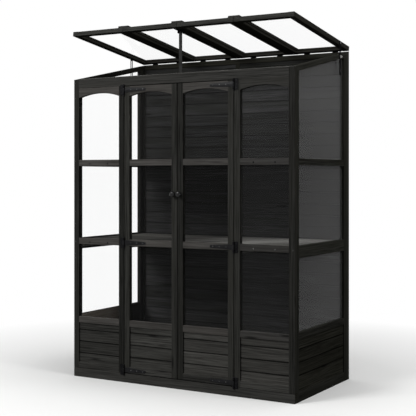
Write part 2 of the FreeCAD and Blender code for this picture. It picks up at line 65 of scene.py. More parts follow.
# the lid's hinge line behind the front plane, its tilt as it stands propped open, and the slope of the rims
lid = {"behindFront": 0.7449, "height": 1.922557, "tilt": 7.45, "rim": (158, 740)}
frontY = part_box("front_sill")[0].y
lidAxis = Vector((0, frontY + lid["behindFront"], lid["height"]))
lidTilt = math.radians(lid["tilt"])
rimSlope = math.atan2(*lid["rim"])
squareOn = 0.9    # a face counts as looking along an axis from this share of its normal on


def newGroup(name, inputs, outputs):
    # a node group that several finishes share
    group = bpy.data.node_groups.new(name, "ShaderNodeTree")
    for label, kind, value in inputs:
        socket = group.interface.new_socket(name=label, in_out="INPUT", socket_type=kind)
        if value is not None:
            socket.default_value = value
    for label, kind in outputs:
        group.interface.new_socket(name=label, in_out="OUTPUT", socket_type=kind)
    start = group.nodes.new("NodeGroupInput")
    end = group.nodes.new("NodeGroupOutput")
    return group, start.outputs, end.inputs


def put(tree, kind, links=None, **values):
    # one node with its settings, and its inputs fed from other sockets or given plain values
    node = tree.nodes.new(kind)
    for key, value in values.items():
        setattr(node, key, value)
    for key, value in (links or {}).items():
        if isinstance(value, bpy.types.NodeSocket):
            tree.links.new(value, node.inputs[key])
        else:
            node.inputs[key].default_value = value
    return node


def maths(tree, operation, a, b=0.5, clamp=False):
    return put(tree, "ShaderNodeMath", {0: a, 1: b}, operation=operation, use_clamp=clamp).outputs[0]


def times(tree, a, b):
    return maths(tree, "MULTIPLY", a, b)


def remap(tree, value, span, to=(0.0, 1.0)):
    links = {0: value, 1: span[0], 2: span[1], 3: to[0], 4: to[1]}
    return put(tree, "ShaderNodeMapRange", links, clamp=True).outputs[0]


def mixColour(tree, factor, a, b, blend="MIX"):
    a, b = ((*value, 1) if isinstance(value, (tuple, list)) else value for value in (a, b))
    links = {0: factor, 6: a, 7: b}
    return put(tree, "ShaderNodeMix", links, data_type="RGBA", blend_type=blend).outputs[2]


def noise(tree, vector, scale=1.0, detail=3.0, rough=0.55, twist=0.0):
    links = {"Vector": vector, "Scale": scale, "Detail": detail, "Roughness": rough, "Distortion": twist}
    return put(tree, "ShaderNodeTexNoise", links).outputs[0]


def stretch(tree, vector, scale):
    return put(tree, "ShaderNodeMapping", {"Vector": vector, "Scale": scale}).outputs[0]


def drawnNoise(tree, vector, drawn, **settings):
    return noise(tree, stretch(tree, vector, drawn), **settings)


# streaks, fine fibres, hairs, clouds of stain and small knots along one board, which lies along X
grainLook = {"wide": {"drawn": (3.2, 150, 150), "detail": 4.0, "rough": 0.6, "twist": 0.15},
             "fine": {"drawn": (9, 380, 380), "detail": 3.0, "rough": 0.6},
             "hair": {"drawn": (20, 900, 900), "detail": 2.0, "rough": 0.5},
             "cloud": {"drawn": (1.3, 14, 14), "detail": 4.0, "rough": 0.55},
             "knots": (2.6, 13, 13), "knotSize": (0.05, 0.13), "contrast": (0.39, 0.61), "shares": (0.6, 0.4)}


def makeBoardGrain():
    group, given, result = newGroup(
        "boardGrain", [("Vector", "NodeSocketVector", None), ("Streaks", "NodeSocketFloat", 1.0)],
        [(label, "NodeSocketFloat") for label in ("Streak", "Cloud", "Knot", "Height")])
    along = given["Vector"]
    wide, fine, hair, cloud = (drawnNoise(group, along, **grainLook[name])
                               for name in ("wide", "fine", "hair", "cloud"))
    more, less = grainLook["shares"]
    both = maths(group, "ADD", times(group, wide, more), times(group, fine, less))
    streak = times(group, remap(group, both, grainLook["contrast"]), given["Streaks"])
    cells = put(group, "ShaderNodeTexVoronoi",
                {"Vector": stretch(group, along, grainLook["knots"]), "Scale": 1.0, "Randomness": 1.0})
    knot = remap(group, cells.outputs["Distance"], grainLook["knotSize"], (1.0, 0.0))
    height = maths(group, "ADD", times(group, fine, more), times(group, hair, less))
    for label, value in (("Streak", streak), ("Cloud", cloud), ("Knot", knot), ("Height", height)):
        group.links.new(value, result[label])
    return group


# where the eased edges are rubbed paler, in broken patches
rubLook = {"patch": {"scale": 14.0, "detail": 5.0, "rough": 0.7}, "broken": (0.50, 0.62)}


def makeEdgeRub():
    group, given, result = newGroup(
        "edgeRub", [("Vector", "NodeSocketVector", None), ("Edge", "NodeSocketFloat", 0.0),
                    ("Amount", "NodeSocketFloat", 0.5)], [("Mask", "NodeSocketFloat")])
    patch = remap(group, noise(group, given["Vector"], **rubLook["patch"]), rubLook["broken"])
    group.links.new(times(group, times(group, patch, given["Edge"]), given["Amount"]), result["Mask"])
    return group


# a thin dust that lies on what faces up, and sits in clouds elsewhere
dustLook = {"facing": (0.3, 0.95), "least": 0.12, "patch": {"scale": 9.0, "detail": 5.0, "rough": 0.6},
            "clouds": (0.35, 0.7), "thin": 0.2}


def makeSettledDust():
    group, given, result = newGroup(
        "settledDust", [("Vector", "NodeSocketVector", None), ("Amount", "NodeSocketFloat", 0.3)],
        [("Mask", "NodeSocketFloat")])
    facing = put(group, "ShaderNodeNewGeometry").outputs["Normal"]
    up = put(group, "ShaderNodeSeparateXYZ", {0: facing}).outputs["Z"]
    up = remap(group, up, dustLook["facing"], (dustLook["least"], 1.0))
    patch = noise(group, given["Vector"], **dustLook["patch"])
    patch = remap(group, patch, dustLook["clouds"], (dustLook["thin"], 1.0))
    group.links.new(times(group, times(group, patch, up), given["Amount"]), result["Mask"])
    return group


boardGrain = makeBoardGrain()
edgeRub = makeEdgeRub()
settledDust = makeSettledDust()


def newFinish(name):
    finish = bpy.data.materials.new(name)
    finish.use_nodes = True
    tree = finish.node_tree
    return finish, tree, tree.nodes["Principled BSDF"]


def attribute(tree, name, output="Fac"):
    return put(tree, "ShaderNodeAttribute", attribute_name=name).outputs[output]


def objectPoint(tree):
    return put(tree, "ShaderNodeTexCoord").outputs["Object"]


def grouped(tree, group, links):
    return put(tree, "ShaderNodeGroup", links, node_tree=group).outputs


def bumpInto(tree, shader, height, strength, distance):
    bump = put(tree, "ShaderNodeBump", {"Height": height, "Strength": strength, "Distance": distance})
    tree.links.new(bump.outputs[0], shader.inputs["Normal"])


# what all the timber has in common
stain = {"clouds": (0.35, 0.65), "knots": 0.7, "roughSwing": 0.08, "poolRough": 0.25, "grainDepth": 0.0009,
         "shadedInside": (-0.6, -0.4), "bareInside": (0.20, 0.52), "seamSoft": 0.03, "seamDark": 0.95}


def stainedTimber(name, look):
    finish, tree, shader = newFinish(name)
    board = attribute(tree, "board", "Vector")
    tone, edge, pooled, inner = (attribute(tree, label) for label in ("tone", "rubbed", "pooled", "inner"))
    grain = grouped(tree, boardGrain, {"Vector": board, "Streaks": look["streaks"]})
    rub = grouped(tree, edgeRub, {"Vector": board, "Edge": edge, "Amount": look["rub"]})
    dust = grouped(tree, settledDust, {"Vector": board, "Amount": look["dust"]})
    colour = mixColour(tree, grain["Streak"], look["dark"], look["light"])
    cloud = remap(tree, grain["Cloud"], stain["clouds"], (0.0, look["cloud"]))
    colour = mixColour(tree, cloud, colour, look["warm"])
    shade = remap(tree, tone, (0.0, 1.0), (1 - look["spread"], 1 + look["spread"]))
    grey = put(tree, "ShaderNodeCombineColor", {0: shade, 1: shade, 2: shade}).outputs[0]
    colour = mixColour(tree, 1.0, colour, grey, "MULTIPLY")
    # painted shade on the inner faces of the end walls, and painted light on them towards the front
    if "inside" in look:
        streaked = [value * look["insideGrain"] for value in look["inside"]]
        paintedLitWood = mixColour(tree, grain["Streak"], look["inside"], streaked)
        colour = mixColour(tree, remap(tree, inner, stain["shadedInside"]), colour, look["insideDark"])
        colour = mixColour(tree, remap(tree, inner, stain["bareInside"]), colour, paintedLitWood)
    # a painted pool of light, paler towards a middle point and ragged at its edge
    if "patch" in look:
        patch = look["patch"]
        pale = mixColour(tree, grain["Streak"], patch["dark"], patch["light"])
        place = stretch(tree, objectPoint(tree), patch["shape"])
        near = put(tree, "ShaderNodeVectorMath", {0: place, 1: patch["middle"]}, operation="DISTANCE")
        near = maths(tree, "ADD", near.outputs["Value"], times(tree, grain["Cloud"], patch["ragged"]))
        colour = mixColour(tree, remap(tree, near, patch["reach"], (1.0, 0.0)), colour, pale)
    colour = mixColour(tree, times(tree, grain["Knot"], stain["knots"]), colour, look["knot"])
    colour = mixColour(tree, rub["Mask"], colour, look["worn"])
    colour = mixColour(tree, dust["Mask"], colour, look["dustTone"])
    # painted shade where the mask made in markFaces says shade falls
    colour = mixColour(tree, times(tree, pooled, look["pooling"]), colour, look["pool"])
    # painted shadow along the joints between the boards, on their outer faces
    if "seam" in look:
        seam = maths(tree, "ABSOLUTE", attribute(tree, "seam"))
        seamShadow = remap(tree, seam, (look["seam"], look["seam"] + stain["seamSoft"]), (0.0, stain["seamDark"]))
        colour = mixColour(tree, seamShadow, colour, look["pool"])
    tree.links.new(colour, shader.inputs["Base Color"])
    rough, swing = look["rough"], stain["roughSwing"]
    rough = remap(tree, grain["Streak"], (0.0, 1.0), (rough + swing, rough - swing))
    rough = maths(tree, "ADD", rough, times(tree, pooled, stain["poolRough"]), True)
    tree.links.new(rough, shader.inputs["Roughness"])
    shader.inputs["Specular IOR Level"].default_value = look["shine"]
    bumpInto(tree, shader, grain["Height"], look["bump"], stain["grainDepth"])
    return finish


timberLook = {"dark": (0.0080, 0.0080, 0.0073), "light": (0.034, 0.034, 0.031),
              "warm": (0.025, 0.0245, 0.0212), "knot": (0.004, 0.004, 0.004),
              "worn": (0.125, 0.118, 0.104), "pool": (0.0018, 0.0018, 0.0016), "pooling": 0.95,
              "dustTone": (0.10, 0.097, 0.09), "streaks": 1.0, "cloud": 0.5, "spread": 0.32, "rub": 0.5,
              "dust": 0.03, "rough": 0.66, "shine": 0.02, "bump": 0.3}
beamLook = {**timberLook, "dark": (0.0170, 0.0170, 0.0158), "light": (0.058, 0.057, 0.053),
            "warm": (0.040, 0.039, 0.035), "rub": 0.3, "spread": 0.15}
# the rails are warmer and painted lighter, a painted sheen; the right bay's rails less so
warmSheenRailLook = {**timberLook, "dark": (0.029, 0.0275, 0.0255), "light": (0.088, 0.084, 0.079),
            "warm": (0.061, 0.0565, 0.051), "spread": 0.1}
dimWarmSheenRailLook = {**warmSheenRailLook, "dark": (0.020, 0.0194, 0.0182), "light": (0.060, 0.0585, 0.056),
               "warm": (0.041, 0.0385, 0.035)}
boardLook = {**timberLook, "dark": (0.0130, 0.0127, 0.0118), "light": (0.066, 0.065, 0.060),
             "warm": (0.036, 0.0355, 0.032), "spread": 0.22, "pooling": 0.7, "rub": 0.1, "bump": 0.4}
leftBoardLook = {**boardLook, "dark": (0.0105, 0.0103, 0.0095), "light": (0.054, 0.0535, 0.049),
                 "warm": (0.029, 0.0285, 0.026)}
rightBoardLook = {**boardLook, "dark": (0.0165, 0.0160, 0.0148), "light": (0.080, 0.078, 0.072),
                  "warm": (0.046, 0.0445, 0.040)}
# the end walls, the back and the corners' outer sides are painted darker, as shade falls on them
shadedSideLook = {**timberLook, "dark": (0.0068, 0.0068, 0.0052), "light": (0.033, 0.0325, 0.0265),
            "warm": (0.020, 0.0193, 0.0150), "worn": (0.05, 0.048, 0.040), "inside": (0.30, 0.258, 0.214),
            "insideGrain": 1.6, "insideDark": (0.008, 0.008, 0.0085), "rub": 0.2, "shine": 0.0,
            "bump": 0.4, "pooling": 0.75, "spread": 0.2}
shadedSideFrameLook = {**shadedSideLook, "dark": (0.0094, 0.0095, 0.0080), "light": (0.040, 0.0398, 0.0345),
                 "warm": (0.024, 0.0235, 0.0195)}
backLook = {**timberLook, "dark": (0.0125, 0.0125, 0.0122), "light": (0.048, 0.048, 0.049),
            "warm": (0.017, 0.0175, 0.0150), "cloud": 0.8, "worn": (0.02, 0.02, 0.02), "pooling": 0.55,
            "rub": 0.0, "dust": 0.0, "spread": 0.18, "bump": 0.08, "shine": 0.0, "seam": 0.925}
# the lid is painted darker as shade, and its front faces lighter, as if lit
shadedLidLook = {**timberLook, "dark": (0.0052, 0.0051, 0.0043), "light": (0.030, 0.0292, 0.0255),
           "warm": (0.018, 0.0168, 0.0135), "worn": (0.07, 0.068, 0.062), "rub": 0.3, "shine": 0.0,
           "bump": 0.4, "spread": 0.2}
litLidFrontLook = {**beamLook, "dark": (0.012, 0.0122, 0.0112), "light": (0.050, 0.050, 0.046),
                "warm": (0.031, 0.0305, 0.027)}
shelfLook = {**timberLook, "dark": (0.075, 0.074, 0.070), "light": (0.190, 0.186, 0.176),
             "warm": (0.145, 0.136, 0.118), "dust": 0.3, "pooling": 0.5, "shine": 0.0}
# the lower shelf carries a painted pool of light, a pale ragged patch towards the right bay
litPatchShelfLook = {**shelfLook, "dark": (0.060, 0.059, 0.056), "light": (0.152, 0.149, 0.141),
                 "warm": (0.116, 0.109, 0.094),
                 "patch": {"middle": (0.28, (frontY + 0.34) * 0.5, 0.0), "shape": (1.0, 0.5, 0.0),
                           "reach": (0.16, 0.50), "ragged": 0.30, "dark": (0.26, 0.256, 0.242),
                           "light": (0.46, 0.452, 0.43)}}

postTimber = stainedTimber("stainedPosts", timberLook)
beamTimber = stainedTimber("stainedBeam", beamLook)
shadedSideTimber = stainedTimber("stainedSides", shadedSideLook)
shadedSideFrameTimber = stainedTimber("stainedSideFrames", shadedSideFrameLook)
warmSheenRailTimber = stainedTimber("stainedRails", warmSheenRailLook)
dimWarmSheenRailTimber = stainedTimber("stainedRightRails", dimWarmSheenRailLook)
boardTimber = stainedTimber("stainedBoards", boardLook)
leftBoardTimber = stainedTimber("stainedLeftBoards", leftBoardLook)
rightBoardTimber = stainedTimber("stainedRightBoards", rightBoardLook)
backTimber = stainedTimber("stainedBackBoards", backLook)
shadedLidTimber = stainedTimber("stainedLid", shadedLidLook)
litLidFrontTimber = stainedTimber("stainedLidFront", litLidFrontLook)
shelfTimber = stainedTimber("stainedShelves", shelfLook)
litPatchShelfTimber = stainedTimber("wornShelf", litPatchShelfLook)

# powder coat with soft patches of tone and a fine pebble
coat = {"patches": {"scale": 40.0, "detail": 3.0}, "pebble": {"scale": 900.0, "detail": 2.0},
        "tones": (0.35, 0.65), "sheen": (0.3, 0.7), "roughSwing": 0.06, "depth": 0.0002}


def blackFitting(name, look):
    finish, tree, shader = newFinish(name)
    place = objectPoint(tree)
    rub = grouped(tree, edgeRub, {"Vector": place, "Edge": attribute(tree, "rubbed"), "Amount": look["rub"]})
    patch = noise(tree, place, **coat["patches"])
    colour = mixColour(tree, remap(tree, patch, coat["tones"]), look["dark"], look["light"])
    colour = mixColour(tree, rub["Mask"], colour, look["worn"])
    tree.links.new(colour, shader.inputs["Base Color"])
    rough = (look["rough"] - coat["roughSwing"], look["rough"] + coat["roughSwing"])
    tree.links.new(remap(tree, patch, coat["sheen"], rough), shader.inputs["Roughness"])
    shader.inputs["Specular IOR Level"].default_value = look["shine"]
    bumpInto(tree, shader, noise(tree, place, **coat["pebble"]), look["bump"], coat["depth"])
    return finish


# dull plating with faint marks drawn along the strip
plating = {"marks": {"drawn": (260, 260, 9), "detail": 3.0}, "clouds": {"scale": 22.0, "detail": 4.0},
           "tones": (0.35, 0.65), "sheen": (0.3, 0.7), "smoother": 0.08, "rougher": 0.1, "depth": 0.0002}


def zincStrip(name, look):
    finish, tree, shader = newFinish(name)
    place = objectPoint(tree)
    drawn = drawnNoise(tree, place, **plating["marks"])
    cloud = noise(tree, place, **plating["clouds"])
    colour = mixColour(tree, remap(tree, cloud, plating["tones"]), look["dark"], look["light"])
    tree.links.new(colour, shader.inputs["Base Color"])
    rough = (look["rough"] - plating["smoother"], look["rough"] + plating["rougher"])
    tree.links.new(remap(tree, drawn, plating["sheen"], rough), shader.inputs["Roughness"])
    shader.inputs["Metallic"].default_value = look["metal"]
    shader.inputs["Specular IOR Level"].default_value = look["shine"]
    bumpInto(tree, shader, drawn, look["bump"], plating["depth"])
    return finish


# dust on the panes, wiped in long faint strokes
wipes = {"strokes": {"drawn": (3.0, 3.0, 1.2), "detail": 5.0, "rough": 0.6, "twist": 0.8},
         "tones": (0.3, 0.7), "haze": (0.4, 0.75)}


def clearPane(name, look):
    # clear sheet under a thin film that catches the light; its own reflection is kept low
    finish, tree, shader = newFinish(name)
    wiped = drawnNoise(tree, objectPoint(tree), **wipes["strokes"])
    colour = mixColour(tree, remap(tree, wiped, wipes["tones"]), look["clear"], look["dusty"])
    tree.links.new(colour, shader.inputs["Base Color"])
    rough = remap(tree, wiped, wipes["haze"], (look["smooth"], look["hazy"]))
    tree.links.new(rough, shader.inputs["Roughness"])
    shader.inputs["Transmission Weight"].default_value = 1.0 - look["film"]
    shader.inputs["IOR"].default_value = look["bend"]
    return finish


fittingLook = {"dark": (0.0045, 0.0045, 0.0049), "light": (0.010, 0.010, 0.0112),
               "worn": (0.10, 0.10, 0.105), "rough": 0.36, "shine": 0.10, "rub": 0.4, "bump": 0.25}
leafLook = {**fittingLook, "dark": (0.0035, 0.0035, 0.0038), "light": (0.008, 0.008, 0.009),
            "shine": 0.04}
knobLook = {"dark": (0.0012, 0.0012, 0.0012), "light": (0.0025, 0.0025, 0.0025),
            "worn": (0.02, 0.02, 0.02), "rough": 0.12, "shine": 0.24, "rub": 0.1, "bump": 0.02}
stayLook = {"dark": (0.005, 0.005, 0.0050), "light": (0.010, 0.010, 0.010), "metal": 0.0, "shine": 0.0,
            "rough": 0.5, "bump": 0.2}
propLook = {**stayLook, "dark": (0.012, 0.012, 0.0115), "light": (0.026, 0.026, 0.025), "shine": 0.06}
screwLook = {**stayLook, "dark": (0.26, 0.26, 0.25), "light": (0.50, 0.50, 0.49), "metal": 0.8,
             "shine": 0.5, "rough": 0.3}
wornScrewLook = {**screwLook, "dark": (0.03, 0.03, 0.03), "light": (0.11, 0.11, 0.11), "metal": 0.3,
                 "shine": 0.3}
wallPaneLook = {"clear": (0.998, 0.999, 0.999), "dusty": (0.99, 0.992, 0.992), "smooth": 0.0,
                "hazy": 0.006, "film": 0.0185, "bend": 1.06}
frontPaneLook = {**wallPaneLook, "film": 0.0036, "bend": 1.01}
bayPaneLook = {**frontPaneLook, "film": 0.0072}
lidPaneLook = {**frontPaneLook, "hazy": 0.0, "film": 0.0, "bend": 1.03}

blackMetal = blackFitting("blackFittings", fittingLook)
leafMetal = blackFitting("blackLeaves", leafLook)
knobBlack = blackFitting("glossyKnobs", knobLook)
stayMetal = zincStrip("dullStays", stayLook)
propMetal = zincStrip("dullProp", propLook)
brightScrew = zincStrip("brightScrews", screwLook)
wornScrew = zincStrip("wornScrews", wornScrewLook)
wallPane = clearPane("wallSheet", wallPaneLook)
frontPane = clearPane("frontSheet", frontPaneLook)
bayPane = clearPane("baySheet", bayPaneLook)
lidPane = clearPane("lidSheet", lidPaneLook)
print("finishes made:", len(bpy.data.materials))


def connected(items, neighbours):
    # the items in groups that hang together through their neighbours, in the same order each time
    left = set(items)
    groups = []
    for first in items:
        if first not in left:
            continue
        left.discard(first)
        group = [first]
        for item in group:    # the group grows while it is gone through
            for other in neighbours(item):
                if other in left:
                    left.discard(other)
                    group.append(other)
        groups.append(group)
    return groups


def separateSolids(bm):
    # solids of one node may touch, so a shared edge has four faces: each solid is split off along those
    regions = connected(bm.faces, lambda face: [other for edge in face.edges if len(edge.link_faces) == 2
                                                for other in edge.link_faces])
    for region in regions[1:]:
        bmesh.ops.split(bm, geom=region, use_only_faces=False)


def facesOf(verts):
    # each face once, in the same order each time
    return list(dict.fromkeys(face for vert in verts for face in vert.link_faces))


def looseParts(bm):
    return connected(bm.verts, lambda vert: [other for edge in vert.link_edges for other in edge.verts])


def middleOf(part, digits):
    return tuple(round(sum(vert.co[axis] for vert in part) / len(part), digits) for axis in range(3))


def ends(values):
    values = list(values)
    return min(values), max(values)


# how far the grain is moved from board to board, the digits that put boards in order, and how much smaller
# a board's box has to get before another slope is taken
boardMarks = {"shift": 20, "digits": 3, "smaller": 0.98}


def frameOf(points):
    # the length, width and thickness directions of a board: upright, along the rim or along the open lid
    best = None
    for angle in (0.0, rimSlope, -lidTilt):
        along = Vector((0, math.cos(angle), math.sin(angle)))
        axes = (Vector((1, 0, 0)), along, Vector((1, 0, 0)).cross(along))
        sizes = [high - low for low, high in (ends(point.dot(axis) for point in points) for axis in axes)]
        volume = math.prod(sizes)
        if best is None or volume < best[0] * boardMarks["smaller"]:
            longestFirst = sorted(zip(sizes, range(3)), reverse=True)
            best = (volume, [axes[index] for _, index in longestFirst])
    return best[1]


def markBoards(bm, seed):
    # board coordinates with an offset of their own, a tone for each board, and on outer faces how near
    # to the joint with the next board
    place = bm.verts.layers.float_vector.new("board")
    tone = bm.verts.layers.float.new("tone")
    seam = bm.loops.layers.float.new("seam")
    chance = random.Random(seed)
    for part in sorted(looseParts(bm), key=lambda part: middleOf(part, boardMarks["digits"])):
        axes = frameOf([vert.co for vert in part])
        shift = [chance.uniform(0, boardMarks["shift"]) for _ in range(3)]
        shade = chance.random()
        low, high = ends(vert.co.z for vert in part)
        middle, half = (high + low) / 2, (high - low) / 2
        for vert in part:
            vert[place] = Vector([vert.co.dot(axis) + move for axis, move in zip(axes, shift)])
            vert[tone] = shade
            for loop in vert.link_loops:
                loop[seam] = (vert.co.z - middle) / half if loop.face.normal.y > squareOn else 0.0


# the narrow gaps around and between the doors, and how near and how square a face is that looks into them
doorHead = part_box("left_door_stiles")[1].z
doorGaps = {"across": (0.0, 0.3615), "heights": (0.0545, doorHead + 0.00125), "reach": 0.0032,
            "frontal": 0.95, "behind": 0.0005, "turned": 0.3}


def besideGap(node, normal, centre):
    if not node.startswith(("front_", "left_door", "right_door")):
        return False
    inside = abs(normal.y) < doorGaps["frontal"] or abs(centre.y - frontY) > doorGaps["behind"]
    beside = any(abs(abs(centre.x) - place) < doorGaps["reach"] for place in doorGaps["across"])
    above = any(abs(centre.z - place) < doorGaps["reach"] for place in doorGaps["heights"])
    sideways, upright = abs(normal.x) > doorGaps["turned"], abs(normal.z) > doorGaps["turned"]
    return inside and ((beside and sideways) or (above and upright))


def inwardFace(node, normal):
    wall = node.startswith(("left_wall", "right_wall"))
    return wall and abs(normal.x) > squareOn and (normal.x > 0) == node.startswith("left")


# how much painted shade each kind of place gets, from 0 to 1, and the normals and places that tell
# them apart
shadeShares = {"bevel": (0.15, 0.96), "backBevel": 0.35, "reveal": 0.6, "insideX": 0.71, "frameEdge": 0.5,
         "frameInside": 0.85, "frameAbove": 0.6, "backPost": 0.6, "inward": -0.5, "under": -0.6}


def paintedShadeAt(node, normal, centre, eased):
    # painted shade in the bevels between boards, in the reveals, where members meet across a narrow gap and
    # under the rails
    if besideGap(node, normal, centre):
        return 1.0
    if node.endswith("_boards"):
        low, high = shadeShares["bevel"]
        if not low < abs(normal.z) < high:
            return 0.0
        return 1.0 if normal.z > 0 or node != "back_wall_boards" else shadeShares["backBevel"]
    if eased:
        return 0.0
    if node == "front_posts" or node.endswith("door_stiles"):
        return shadeShares["reveal"] if abs(normal.x) > squareOn and abs(centre.x) < shadeShares["insideX"] else 0.0
    if node.endswith("wall_frame"):
        if abs(normal.y) > squareOn:
            return shadeShares["frameEdge"]
        return shadeShares["frameInside"] if inwardFace(node, normal) and centre.z > shadeShares["frameAbove"] else 0.0
    if node == "back_posts":
        return shadeShares["backPost"] if normal.y < -squareOn or normal.x * centre.x < shadeShares["inward"] else 0.0
    rail = node == "front_beam" or ("rail" in node and "lid" not in node and "back" not in node)
    return float(rail and normal.z < shadeShares["under"])


# painted light and shade on the inside of the end walls' boards and low rails: pale towards the front, as if
# lit there
insideLightPlaces = {"reach": 0.66, "railHalf": 0.28, "railBelow": 0.6}


def bareInside(node, normal, centre, y):
    lowRail = (node.endswith("wall_frame") and abs(centre.y) < insideLightPlaces["railHalf"]
               and centre.z < insideLightPlaces["railBelow"])
    if not (lowRail or node.endswith("wall_boards")) or not inwardFace(node, normal):
        return -1.0
    return min(1, max(0, (frontY + insideLightPlaces["reach"] - y) / insideLightPlaces["reach"]))


# the faces that take a second finish of painted light and shade: the lid's front painted lit, the lowest
# rails without the rails' painted sheen, and the corners' outer sides painted in shade
paintedVariantPlaces = {"lidFront": 0.1, "railBelow": 0.12, "cornerX": 0.71}


def takesPaintedVariant(node, normal, centre):
    if node.startswith("lid"):
        return normal.y < -squareOn and centre.y < frontY + paintedVariantPlaces["lidFront"]
    if "rails" in node:
        return centre.z < paintedVariantPlaces["railBelow"]
    return abs(normal.x) > squareOn and abs(centre.x) > paintedVariantPlaces["cornerX"]


# how much each kind of piece is eased, and the angles and sizes that tell which edges are
easing = {"boards": 0.0005, "fronts": 0.0008, "others": 0.0013, "metal": 0.0004, "prop": 0.0014,
          "clamp": 0.0003, "segments": 2, "profile": 0.5, "join": 0.00002, "flat": 0.8, "sharp": 28.0,
          "narrow": 1.2, "corners": 6, "halfJoint": 0.00021}


def closeJoints(bm):
    # no light passes between the boards, so each is drawn up to the next one
    for part in looseParts(bm):
        low, high = ends(vert.co.z for vert in part)
        for vert in part:
            if high - vert.co.z < easing["join"]:
                vert.co.z += easing["halfJoint"]
            elif vert.co.z - low < easing["join"]:
                vert.co.z -= easing["halfJoint"]


def markFaces(bm, node, ease, second):
    # rubbed edges, painted shade, painted light and shade on the end walls' inside, and which finish a face
    # takes
    rubbed, pooled, inner = (bm.loops.layers.float.new(label) for label in ("rubbed", "pooled", "inner"))
    for face in bm.faces:
        centre = face.calc_center_median()
        shortest = min(edge.calc_length() for edge in face.edges)
        eased = (face.calc_area() > 0 and shortest < ease * easing["narrow"]
                 and len(face.verts) <= easing["corners"])
        shaded = paintedShadeAt(node, face.normal, centre, eased)
        for loop in face.loops:
            loop[rubbed] = float(eased and not shaded)
            loop[pooled] = shaded
            loop[inner] = bareInside(node, face.normal, centre, loop.vert.co.y)
        face.material_index = 1 if second and takesPaintedVariant(node, face.normal, centre) else 0


def linkMesh(bm, name, finishes):
    # the shape as an object of the scene, with its finishes
    mesh = bpy.data.meshes.new(name)
    bm.to_mesh(mesh)
    bm.free()
    for finish in finishes:
        mesh.materials.append(finish)
    piece = bpy.data.objects.new(name, mesh)
    bpy.context.scene.collection.objects.link(piece)
    return piece


def pieceName(node):
    # front_posts becomes frontPosts
    first, *others = node.split("_")
    return first + "".join(word.capitalize() for word in others)


def easedCopy(node, finish, ease, seed=1, second=None, shape=None):
    # the node's own shape with its outer edges eased, as planed and sanded timber or pressed metal has them
    source = cadNodes[node]
    bm = bmesh.new()
    bm.from_mesh(source.data)
    bmesh.ops.remove_doubles(bm, verts=bm.verts, dist=easing["join"])
    separateSolids(bm)
    bmesh.ops.dissolve_limit(bm, angle_limit=math.radians(easing["flat"]), use_dissolve_boundaries=False,
                             verts=bm.verts, edges=bm.edges, delimit=set())
    if shape:
        shape(bm)
    sharp = [edge for edge in bm.edges if len(edge.link_faces) == 2 and edge.is_convex
             and edge.calc_face_angle(0) > math.radians(easing["sharp"])]
    bmesh.ops.bevel(bm, geom=sharp, offset=ease, offset_type="OFFSET", segments=easing["segments"],
                    profile=easing["profile"], affect="EDGES", clamp_overlap=True, material=-1,
                    loop_slide=True)
    markFaces(bm, node, ease, second)
    markBoards(bm, seed)
    piece = linkMesh(bm, pieceName(node), [finish, second] if second else [finish])
    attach(piece, source["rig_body"])
    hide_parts(node)


def timberEase(node):
    if node.endswith("_boards"):
        return easing["boards"]
    return easing["fronts"] if node.startswith(("front", "left_door", "right_door")) else easing["others"]


timberPieces = {
    "front_posts": postTimber, "front_beam": beamTimber, "front_sill": beamTimber,
    "left_bay_rails": warmSheenRailTimber, "right_bay_rails": dimWarmSheenRailTimber,
    "left_bay_arch_rail": warmSheenRailTimber, "right_bay_arch_rail": beamTimber,
    "left_bay_boards": leftBoardTimber, "right_bay_boards": rightBoardTimber,
    "left_wall_frame": shadedSideFrameTimber, "right_wall_frame": shadedSideFrameTimber,
    "left_wall_boards": shadedSideTimber, "right_wall_boards": shadedSideTimber,
    "back_posts": shadedSideFrameTimber, "back_wall_rails": shadedSideTimber, "back_wall_boards": backTimber,
    "lower_shelf": litPatchShelfTimber, "upper_shelf": shelfTimber, "shelf_bearers": shelfTimber,
    "door_stop": shadedSideTimber,
    "lid_stiles": shadedLidTimber, "lid_rails": shadedLidTimber, "lid_battens": shadedLidTimber,
    "left_door_stiles": postTimber, "right_door_stiles": postTimber,
    "left_door_rails": warmSheenRailTimber, "right_door_rails": warmSheenRailTimber,
    "left_door_arch_rail": warmSheenRailTimber, "right_door_arch_rail": warmSheenRailTimber,
    "left_door_boards": boardTimber, "right_door_boards": rightBoardTimber}
# these pieces take painted light and shade on some faces: lit on the lid's front, shaded on the corners'
# sides and the sill's ends, and no painted sheen on the lowest rails
paintedVariants = {
    "front_posts": shadedSideFrameTimber, "front_sill": shadedSideTimber,
    "left_bay_rails": boardTimber, "right_bay_rails": boardTimber,
    "left_door_rails": boardTimber, "right_door_rails": boardTimber,
    "lid_stiles": litLidFrontTimber, "lid_rails": litLidFrontTimber, "lid_battens": litLidFrontTimber}
boardSeeds = {"front_posts": 644}    # the other pieces take their own number in the list
for number, (node, finish) in enumerate(timberPieces.items(), 1):
    seed = boardSeeds.get(node, number)
    shape = closeJoints if node.endswith("_boards") else None
    easedCopy(node, finish, timberEase(node), seed, paintedVariants.get(node), shape)
print("timber pieces:", len(timberPieces))

# where the strap hinges and their screws sit, and the low ridge that is pressed along the straps
strap = {"heights": (0.073, 0.806, 1.687), "thick": 0.0025, "screws": (0.231, 0.272, 0.313),
         "leafX": 0.3775, "leafDrop": 0.0215, "rise": 0.0011, "ridge": (0.200, 0.352), "digits": 2,
         "near": 0.05, "cut": 0.000001, "onCut": 0.00001}


